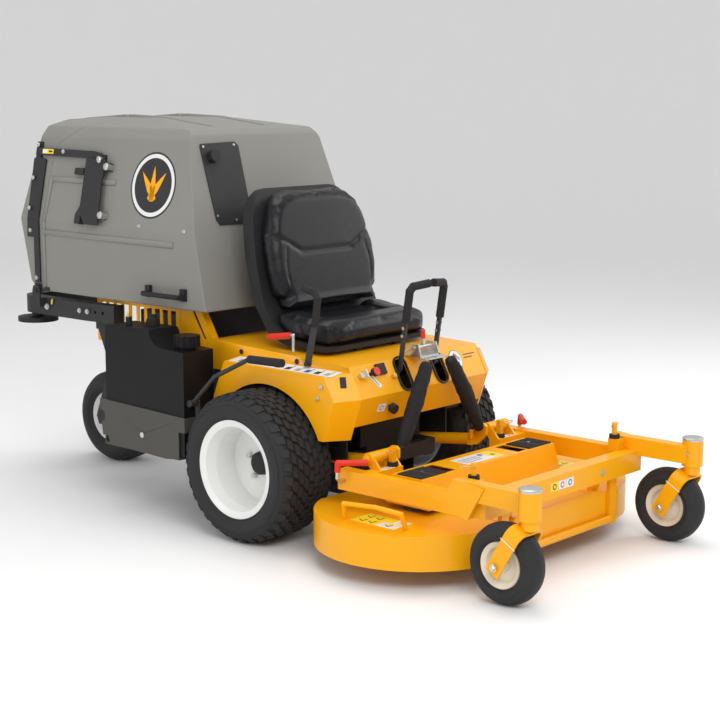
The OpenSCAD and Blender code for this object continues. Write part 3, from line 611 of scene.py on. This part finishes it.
def catcher():
    outer = catcher_solid(0, 13)
    inner = catcher_solid(6, 7)
    shell = bpy.data.objects.new("catcher_body", outer.data.copy())
    bpy.context.scene.collection.objects.link(shell)
    boolean(outer, door_region(0), "INTERSECT")
    boolean(outer, inner, "DIFFERENCE", keep=True)
    boolean(shell, door_region(1.5), "DIFFERENCE")
    boolean(shell, inner, "DIFFERENCE")
    inlet = prism("inlet", GREY, [P(-110, 330, 640), P(110, 330, 640), P(110, 460, 640), P(-110, 460, 640)],
                  Vector((0, 0, 28)) * MM)
    boolean(shell, inlet, "DIFFERENCE")
    up = Vector((0, math.sin(PANEL_LEAN), math.cos(PANEL_LEAN)))
    nrm = Vector((0, -math.cos(PANEL_LEAN), math.sin(PANEL_LEAN)))
    c = P(0, 361, 1046)
    hole = prism("hole", GREY, [c + Vector((x, 0, 0)) * MM + up * v * MM - nrm * 30 * MM for x, v in
                                ((-176, -120), (-100, -120), (-100, 80), (-176, 80))], nrm * 60 * MM)
    boolean(shell, hole, "DIFFERENCE")
    extra = []
    for s in (1, -1):
        for pts in ([(418, 846), (418, 865), (1088, 867), (1088, 850)], [(1074, 672), (1087, 672), (1087,
                                                                                                    851),
                    (1074, 851)], [(1072, 866), (1086, 866), (1084, 896), (1070, 896)]):
            x0, x1 = sorted((s * 353, s * 358))
            extra.append(side_prism("rib", GREY, x0, x1, pts))
        for pts in ([(1070, 0), (1083, 0), (1070, 156), (1054, 156)], [(725, 136), (725, 154), (860, 154),
                    (860, 136)], [(878, 136), (878, 154), (1060, 154), (1064, 136)]):
            extra.append(wall_piece("rib", GREY, s, -1, 4, pts))
    # low moulded ridges along the top, and a lip round the seam
    for x in (-120, 120):
        extra.append(side_prism("ridge", GREY, x - 13, x + 13, [(470, 1216), (478, 1224.4), (700, 1249.4),
                                                                (880, 1254.8),
                                                                (886, 1248), (886, 1240), (700, 1238)]))
    for e in extra:
        bevel(e, 1.8, 2, 30)
        bake(e)
        e.data.shade_smooth()
    shell.data.shade_smooth()
    shell.data.set_sharp_from_angle(angle=math.radians(28))
    o = join("catcher_body", [shell] + extra, "catcher")
    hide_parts("catcher_shell")
    outer.data.shade_smooth()
    outer.data.set_sharp_from_angle(angle=math.radians(28))
    ridges = []
    for x in (-120, 120):
        ridges.append(side_prism("ridge", GREY, x - 13, x + 13, [(896, 1248), (902, 1255), (1116, 1241),
                                                                 (1124, 1234),
                                                                 (1100, 1230), (896, 1240)]))
    for e in ridges:
        bevel(e, 1.8, 2, 30)
        bake(e)
        e.data.shade_smooth()
    o = join("catcher_rear_door", [outer] + ridges, "catcher_door")
    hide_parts("catcher_door")


catcher()


# ---- seat cushions -------------------------------------------------------------------------------
CLOTH_FRAMES = 20
FRONT_LINE = [(66, 700), (102, 860), (134, 996), (152, 1032)]
TOP_LINE = [(-150, 626), (-118, 643), (0, 648), (84, 664), (96, 662)]


def level(line, value, known):
    """Reads a line of (y, z) points at value, which is the coordinate known (0 for y, 1 for z)."""
    for a, b in zip(line, line[1:]):
        if value <= b[known] or b == line[-1]:
            return a[1 - known] + (b[1 - known] - a[1 - known]) * (value - a[known]) / (b[known] - a[known])


def cut_groove(o, pts, r):
    """Round channel along points in metres, cut into a solid."""
    return boolean(o, tube("channel", VINYL, pts, r, seg=16, smooth_path=False), "DIFFERENCE")


def cushion(name, parts, replaced, cap):
    """One soft form from overlapping solids: puffed by a cloth simulation, moved by no more than cap mm."""
    o = join(name, parts)
    m = o.modifiers.new("remesh", "REMESH")
    m.mode = "VOXEL"
    m.voxel_size = 0.005
    bake(o)
    rest = [v.co.copy() for v in o.data.vertices]
    c = o.modifiers.new("cloth", "CLOTH")
    st = c.settings
    st.quality = 5
    st.mass = 0.3
    st.tension_stiffness = 12
    st.compression_stiffness = 12
    st.shear_stiffness = 6
    st.bending_stiffness = 1.2
    st.use_pressure = True
    st.uniform_pressure_force = 4.0
    st.effector_weights.gravity = 0.0
    c.collision_settings.use_collision = False
    c.point_cache.frame_start = 1
    c.point_cache.frame_end = CLOTH_FRAMES
    for f in range(1, CLOTH_FRAMES + 1):
        bpy.context.scene.frame_set(f)
    me = bpy.data.meshes.new_from_object(o.evaluated_get(bpy.context.evaluated_depsgraph_get()))
    for v, r in zip(me.vertices, rest):
        d = v.co - r
        if d.length > cap * MM:
            v.co = r + d.normalized() * cap * MM
    o.modifiers.clear()
    o.data = me
    bpy.context.scene.frame_set(1)
    sm = o.modifiers.new("smooth", "SMOOTH")
    sm.iterations = 5
    sm.factor = 0.5
    bake(o)
    o.data.materials.clear()
    o.data.materials.append(VINYL)
    o.data.shade_smooth()
    m = o.modifiers.new("subdivision", "SUBSURF")
    m.levels = m.render_levels = 1
    place(o, "seat")
    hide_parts(replaced)
    return o


def mirrored(half):
    return half + [(-x, v) for x, v in reversed(half)]


def back_cushion():
    """Backrest: head panel with a tongue, a plump band under it, and a lumbar slope below the crease."""
    outline = mirrored([(214, 700), (228, 716), (240, 780), (240, 850), (228, 908), (212, 954), (188, 992),
                        (152, 1020), (104, 1034)])
    back = side_prism("back", VINYL, -250, 250, [(66, 700), (102, 860), (134, 996), (152, 1032), (190, 1034),
                                                 (200, 1020), (175, 958), (116, 704), (74, 692)])
    boolean(back, front_prism("outline", VINYL, 0, 300, outline), "INTERSECT")
    bevel(back, 11, 3, 25)
    back.modifiers[-1].harden_normals = False
    bake(back)

    def on_front(x, z):
        return P(x, level(FRONT_LINE, z, 1) - 1, z)

    cut_groove(back, [on_front(x, z) for x, z in ((-250, 908), (-168, 872), (-114, 840), (114, 840), (168,
                                                                                                      872),
                                                  (250, 908))], 6.5)
    for s in (1, -1):
        cut_groove(back, [on_front(s * x, z) for x, z in ((176, 862), (192, 800), (186, 690))], 4.5)
    lumbar = side_prism("lumbar", VINYL, -206, 206, [(46, 664), (94, 666), (116, 712), (90, 724), (72, 716)])
    bevel(lumbar, 12, 3, 25)
    lumbar.modifiers[-1].harden_normals = False
    bake(lumbar)
    cushion("back_cushion", [back, lumbar], "seat_backrest", 11)


def base_cushion():
    """Seat base: front roll, raised sides and a sunk middle."""
    base = side_prism("base", VINYL, -250, 250, [(-152, 594), (-152, 624), (-118, 643), (0, 648), (84, 664),
                                                 (98, 660), (82, 636), (22, 597), (-130, 583)])
    half = [(112, -154), (182, -150), (224, -128), (240, -92), (245, 0), (236, 76), (204, 106)]
    outline = half + [(-x, y) for x, y in reversed(half)]
    boolean(base, prism("outline", VINYL, [P(x, y, 560) for x, y in outline], Z * 160 * MM), "INTERSECT")
    boolean(base, side_prism("sunk", VINYL, -150, 150, [(-48, 632), (0, 632), (104, 652), (104, 700), (-48,
                                                                                                       700)]),
            "DIFFERENCE")
    bevel(base, 12, 3, 25)
    base.modifiers[-1].harden_normals = False
    bake(base)
    cut_groove(base, [P(x, -54, level(TOP_LINE, -54, 0) + 1) for x in (-250, -120, 0, 120, 250)], 6.5)
    for s in (1, -1):
        cut_groove(base, [P(s * 158, y, level(TOP_LINE, y, 0) + 1) for y in (-54, 0, 60, 110)], 6.0)
    cushion("seat_cushion_soft", [base], "seat_cushion", 9)


X, Y, Z = Vector((1, 0, 0)), Vector((0, 1, 0)), Vector((0, 0, 1))
back_cushion()
base_cushion()


# ---- decals and trim, all plain shapes -----------------------------------------------------------
def decal(name, body, centre, u, v, shapes, thick=0.35):
    """Flat printed shapes on a plane; each shape is (material, layer, [(u, v), ...]) in mm."""
    n = u.cross(v).normalized()
    parts = []
    for mat, layer, pts in shapes:
        pts3 = [centre + u * a * MM + v * b * MM + n * (0.05 + layer * thick) * MM for a, b in pts]
        parts.append(prism("p", mat, pts3, n * thick * MM))
    o = join(name, parts, body)
    return o


def rect(x0, y0, x1, y1):
    return [(x0, y0), (x1, y0), (x1, y1), (x0, y1)]


def disc(x, y, r, n=40, ry=None):
    return [(x + r * math.cos(2 * math.pi * i / n), y + (ry or r) * math.sin(2 * math.pi * i / n))
            for i in range(n)]


for k, s in (("right", -1), ("left", 1)):
    up = Vector((-s * math.sin(WALL_LEAN), 0, math.cos(WALL_LEAN)))
    along = Vector((0, -1, 0)) if s < 0 else Vector((0, 1, 0))
    leaf = []
    for a in (-38, 0, 38):
        t = math.radians(a)
        pts = [(-9, -52), (9, -52), (13, -6), (6, 36), (0, 62), (-6, 36), (-13, -6)]
        leaf.append((AMBER, 3, [(x * math.cos(t) + (y + 30) * math.sin(t),
                                 -30 - x * math.sin(t) + (y + 30) * math.cos(t))
                                for x, y in pts]))
    decal("round_badge_" + k, "catcher", wall_point(s, 541, 144.5, 0.1), along, up,
          [(LABEL_K, 0, disc(0, 0, 107)), (LABEL, 1, disc(0, 0, 101)), (LABEL_K, 2, disc(0, 0, 88))] + leaf)
    # bolts on the catcher side and its straps
    for y, z in ((584, 907), (368, 902)):
        bolt("side_bolt_%s_%d" % (k, y), "catcher", wall_point(s, y, z - 896, 0.3), wall_normal(s), 5, 4)
    decal("strap_label_" + k, "catcher_door", wall_point(s, 1090, 237, 11.7), along, up,
          [(LABEL_Y, 0, rect(-30, -8, 30, 8)), (LABEL, 1, rect(-28, -6, -4, 6)), (LABEL_K, 1, rect(4, -3,
                                                                                                   24, 3))])
    for i, (yy, uu) in enumerate(((1152, 40), (1152, 144), (1146, 258), (1006, 238))):
        bolt("strap_bolt_%s_%d" % (k, i), "catcher_door", wall_point(s, yy, uu, 13), wall_normal(s), 5.5, 3)
    for i, (yy, zz) in enumerate(((1144, 862), (1118, 700))):
        bolt("strap_low_bolt_%s_%d" % (k, i), "catcher_door", P(s * 364, yy, zz), Vector((s, 0, 0)), 5.5, 3)
    for where, rise in (("top", 193), ("low", 34)):
        turned("cover_knob_%s_%s" % (where, k), ZINC, wall_point(s, 752, rise, 22), wall_normal(s),
               [(10.5, 0), (12, 2), (12, 8), (9, 11), (4, 12)], 24, "catcher")
    turned("arm_pivot_cap_" + k, ZINC, P(s * 332, 800, 1112), Vector((s, 0, 0)),
           [(11, 0), (11, 3), (7, 5)], 24, "catcher")
    for y in (864, 905):
        bolt("bar_bolt_%s_%d" % (k, y), "tractor", P(s * 350, y, 604), Vector((s, 0, 0)), 6.5, 4)
    bolt("pivot_bolt_" + k, "tractor", P(s * 352, 1080, 602), Vector((s, 0, 0)), 8, 5)
    # yellow terminal and a short stub of the stop cable on the side bar
    turned("cable_terminal_" + k, BRASS, P(s * 349, 1056, 612), Vector((0, -0.25, 1)),
           [(4, 0), (5, 2), (5, 13), (3.2, 16), (3.2, 20)], 16, "tractor")

    # body and fender
    for i, (x, y, z) in enumerate(((300, 168, 540), (300, -71, 537))):
        turned("tub_rivet_%s_%d" % (k, i), PLASTIC, P(s * 303.8, y, z), Vector((s, 0, 0)),
               [(8, 0), (8, 1), (5, 2)], 20, "tractor")
    for i, (y, z) in enumerate(((-234, 488), (-220, 452))):
        bolt("fender_bolt_%s_%d" % (k, i), "tractor", P(s * 372, y, z), Vector((s, 0, 0)), 5, 3)
    bolt("mudguard_bolt_" + k, "tractor", P(s * 305, -258, 346), Vector((s, 0, 0)), 8, 5)

    # deck
    turned("stem_cap_" + k, ZINC, P(s * 407, -1010, 323.3), Z,
           [(31, -3), (32, -1), (31.5, 2.5), (27, 4.6), (10, 5.4), (0.1, 5.4)], 40, "caster_" + k)
    for e in (1, -1):
        x = s * 407 + e * 61
        bolt("axle_nut_%s_%s" % (k, "a" if e > 0 else "b"), "caster_" + k, P(x, -939, 112),
             Vector((e, 0, 0)), 8, 6)
        a = math.radians(30)
        c = P(s * 407 + e * 55.0, -939, 112) + Vector((0, -math.sin(a), math.cos(a))) * 0.081
        decal("fork_line_%s_%s" % (k, "a" if e > 0 else "b"), "caster_" + k, c, Vector((0, e, 0)),
              Vector((0, 0, 1)), [(LABEL, 0, [(-23, -13.5 * e - 1.5), (23, 13.5 * e - 1.5), (23,
                                                                                             13.5 * e + 1.5),
                                              (-23, -13.5 * e + 1.5)])], 0.3)
    bolt("beam_bolt_" + k, "deck", P(s * 176, -848, 234), Vector((0, -1, 0)), 7, 5)
    bolt("stem_bolt_" + k, "deck", P(s * 376, -1010, 282), Vector((-s, 0, 0)), 5, 4)
    # hairpin clips
    for n, (x, y, z, tw) in enumerate(((345, -777, 334, 0.5), (257, -411, 306, -0.4))):
        c = P(s * x, y, z)
        d = Vector((math.cos(tw) * s, math.sin(tw), 0.12)).normalized()
        w = d.cross(Z).normalized()
        pts = [c - d * 0.012, c + d * 0.018 + w * 0.003, c + d * 0.030 + w * 0.010, c + d * 0.044 + w * 0.006,
               c + d * 0.048 - w * 0.004, c + d * 0.038 - w * 0.012, c + d * 0.026 - w * 0.006,
               c + d * 0.012 - w * 0.010,
               c - d * 0.004 - w * 0.009]
        tube("hairpin_%s_%d" % (k, n), BRASS, pts, 1.5, "deck", seg=8)
    # rubber treads: rows of low bars on the pads
    bars = [prism("bar", PAD, [P(s * (204 + 12 * i), -562, 262), P(s * (209 + 12 * i), -562, 262),
                               P(s * (209 + 12 * i), -482, 262), P(s * (204 + 12 * i), -482, 262)],
                               Z * 1.2 * MM)
            for i in range(9) if i != 4]
    join("pad_ribs_" + k, bars, "deck")

# dash labels and the meter glass
slope = Vector((0, 48, 90)).normalized()
nrm = Vector((0, -90, 48)).normalized()


def dash(x, z, off=0.3):
    return P(x, -277 - 48 * (542 - z) / 90, z) + nrm * off * MM


decal("meter_face", "tractor", dash(-174, 523.6, 6.0), X, slope,
      [(LABEL_G, 0, rect(-13, -11, 13, 11)), (LABEL_K, 1, rect(-11, -5, 11, 7))])
decal("throttle_label", "tractor", dash(-210, 492), X, slope,
      [(LABEL, 0, [(-24, 22), (-12, 26), (20, -16), (8, -22)]),
       (LABEL_G, 1, [(-14, 16), (-10, 18), (10, -12), (6, -14)])])
decal("round_dash_label", "tractor", dash(176, 506), X, slope,
      [(LABEL_K, 0, disc(0, 0, 30, ry=33)), (LABEL, 1, disc(0, 0, 28, ry=31)),
       (LABEL_R, 2, [(-20, 4), (0, 24), (8, 12), (-12, -6)]),
       (LABEL_B, 2, [(-18, -8), (4, -22), (14, -10), (-6, 0)]),
       (LABEL_G, 2, [(6, 18), (22, 4), (18, -6), (2, 8)])])
decal("plain_dash_stripe", "tractor", dash(240, 512), X, slope,
      [(LABEL_K, 0, rect(-22, 4, 34, 7)), (LABEL_K, 0, rect(-22, -6, 18, -3))])
down = Vector((0, 30, -87)).normalized()
decal("choke_label", "tractor", P(-190, -311.3, 412) + Vector((0, -0.945, -0.326)) * 0.0004, X, -down,
      [(LABEL, 0, [(-22, -12), (-18, 14), (16, 12), (12, -14)]),
       (LABEL_K, 1, disc(-4, 0, 8, 20)), (LABEL, 2, disc(-4, 0, 6, 20))])
for s in (-1, 1):
    t = Vector((s * 71, 0, -10)).normalized()
    v = Vector((0, 1, 0))
    c = P(s * 333, -46, 522.1)
    uu = t if s > 0 else -t
    shapes = [(LABEL, 0, rect(-26, -214, 26, 214))]
    for i in range(10):
        y = -196 + i * 40
        shapes.append(((LABEL_G, LABEL_K, LABEL_B)[i % 3], 1, rect(-18, y, 4, y + 20)))
        shapes.append((LABEL_G, 1, rect(8, y + 2, 20, y + 8)))
    decal("fender_label_%d" % (s + 1), "tractor", c, uu, v, shapes)
# deck labels
for k, s in (("right", -1), ("left", 1)):
    decal("pivot_label_" + k, "deck", P(s * 279, -417, 262), X, Y,
          [(LABEL, 0, rect(-34, -9, 34, 9)), (LABEL_G, 1, rect(-28, -4, 4, 0)), (LABEL_R, 1, disc(20, 0, 5,
                                                                                                  16))])
decal("cover_label", "deck", P(4, -520, 258), X, Y,
      [(LABEL, 0, rect(-88, -36, 88, 36)), (LABEL_Y, 1, rect(44, -34, 86, 34)), (LABEL_B, 1, disc(30, 16,
                                                                                                  9, 20)),
       (LABEL_G, 1, rect(-80, 10, 10, 16)), (LABEL_G, 1, rect(-80, -4, 14, 2)), (LABEL_G, 1, rect(-80, -20,
                                                                                                  0, -14)),
       (LABEL_K, 2, [(56, -12), (74, -12), (65, 6)])])
for k, s in (("right", -1), ("left", 1)):
    shapes = [(LABEL_Y, 0, rect(-42, -80, 42, 80)), (LABEL, 1, rect(-40, -78, -2, -10)), (LABEL, 1, rect(6,
            -78, 40, -34))]
    for x, y in ((-20, 20), (18, 24), (-20, 54), (20, 58), (-20, -40)):
        shapes.append((LABEL_K, 2, [(x - 13, y - 10), (x + 13, y - 10), (x, y + 12)]))
        shapes.append((LABEL_Y, 3, [(x - 9, y - 8), (x + 9, y - 8), (x, y + 8)]))
    shapes.append((LABEL_R, 2, disc(24, -56, 9, 20)))
    shapes.append((LABEL, 3, disc(24, -56, 6.5, 20)))
    decal("lobe_label_" + k, "deck", P(s * 448, -536, 158), X if s > 0 else X, Y, shapes)
for i, (x, mat, ink) in enumerate(((-66, LABEL_Y, LABEL_K), (-28, LABEL, LABEL_R), (10, LABEL, LABEL_B))):
    decal("beam_label_%d" % i, "deck", P(x, -848, 238), X, Z,
          [(mat, 0, rect(-18, -13, 18, 13)), (ink, 1, disc(0, 0, 9, 20)), (mat, 2, disc(0, 0, 5.5, 20))])
# beam slot: a flat black strip, painted shade standing in for the dark inside of the slot in the deck front
decal("beam_slot_painted_shade", "deck", P(-16, -816, 196), X, Z, [(PLASTIC, 0, rect(-84, -4, 84, 4))], 1.0)
decal("cover_side_label", "deck", P(-262, -589, 206), X, Vector((0, 26, 85)).normalized(),
      [(LABEL, 0, rect(-46, -14, 46, 14)), (LABEL_B, 1, disc(-28, 0, 10, 20)), (LABEL, 2, disc(-28, 0, 6,
                                                                                               20)),
       (LABEL_K, 1, rect(-6, -7, 2, 7)),
       (LABEL_K, 1, rect(16, -2, 36, 2))])
for i, (x, v) in enumerate(((-254, 124), (-112, 127), (-246, -110), (-160, -128))):
    upv = Vector((0, math.sin(PANEL_LEAN), math.cos(PANEL_LEAN)))
    out = Vector((0, -math.cos(PANEL_LEAN), math.sin(PANEL_LEAN)))
    across = X * (x + (4 if x < -180 else -5)) * MM
    rise = upv * (v - (6 if v > 0 else -6)) * MM
    bolt("panel_screw_%d" % i, "catcher", P(0, 361, 1046) + across + rise + out * 4.0 * MM,
         out, 3.2, 2.2)
# fittings on the tank
turned("tank_fitting", BRASS, P(-440, 540, 628), Z, [(6, 0), (6, 6), (4, 7), (4, 13), (3, 16)], 16, "tractor")
turned("tank_vent", PLASTIC, P(-400, 470, 620.2), Z,
       [(20, 0), (20, 4), (12, 8), (12, 16), (8, 18)], 24, "tractor")


# ---- floor, light and camera ---------------------------------------------------------------------
floor_mat = make("studio floor", (0.93, 0.93, 0.93), 0.75, grain=60, bump=0.02, var=0.01)
FLAT, CURVE, WALL = 8.5, 3.0, 6.0
bowl_profile = [(0.002, 0.0), (FLAT, 0.0)]
bowl_profile += [(FLAT + CURVE * math.sin(math.radians(a)), CURVE * (1 - math.cos(math.radians(a))))
                 for a in range(10, 91, 10)]
bowl_profile.append((FLAT + CURVE, WALL))
ring = 64
verts = [(r * math.cos(2 * math.pi * i / ring), r * math.sin(2 * math.pi * i / ring), h)
         for r, h in bowl_profile for i in range(ring)]
faces = [[k * ring + i, k * ring + (i + 1) % ring, (k + 1) * ring + (i + 1) % ring, (k + 1) * ring + i]
         for k in range(len(bowl_profile) - 1) for i in range(ring)]
me = bpy.data.meshes.new("floor")
me.from_pydata(verts, [], faces + [list(range(ring))])
me.shade_smooth()
floor = bpy.data.objects.new("floor", me)
me.materials.append(floor_mat)
bpy.context.scene.collection.objects.link(floor)

world = bpy.data.worlds.new("studio")
bpy.context.scene.world = world
world.use_nodes = True
world.node_tree.nodes["Background"].inputs["Color"].default_value = (1, 1, 1, 1)
world.node_tree.nodes["Background"].inputs["Strength"].default_value = 0.66


def area(name, at, target, size, power):
    l = bpy.data.lights.new(name, "AREA")
    l.shape = "RECTANGLE"
    l.size, l.size_y = size
    l.energy = power
    o = bpy.data.objects.new(name, l)
    o.location = at
    o.rotation_euler = (Vector(target) - Vector(at)).to_track_quat("-Z", "Y").to_euler()
    bpy.context.scene.collection.objects.link(o)


area("key", (-2.6, -3.6, 3.6), (0, -0.2, 0.4), (2.4, 1.8), 88)
area("top", (0.4, 0.4, 4.4), (0, 0, 0.4), (3.0, 3.0), 62)
area("rim", (3.4, -1.6, 2.2), (0, -0.2, 0.5), (1.6, 2.2), 36)
area("side", (-4.4, 1.6, 1.8), (0, 0.4, 0.6), (1.6, 2.2), 28)

cam = bpy.data.cameras.new("camera")
cam.lens = 79.41
cam.sensor_width = 36
cam.clip_start = 0.05
cam.clip_end = 100
camera = bpy.data.objects.new("camera", cam)
camera.location = (-3.661, -3.458, 1.349)
look = Vector((0.7327, 0.6590, -0.1699))
camera.rotation_euler = look.to_track_quat("-Z", "Y").to_euler()
bpy.context.scene.collection.objects.link(camera)
bpy.context.scene.camera = camera
bpy.context.scene.view_settings.view_transform = "Standard"
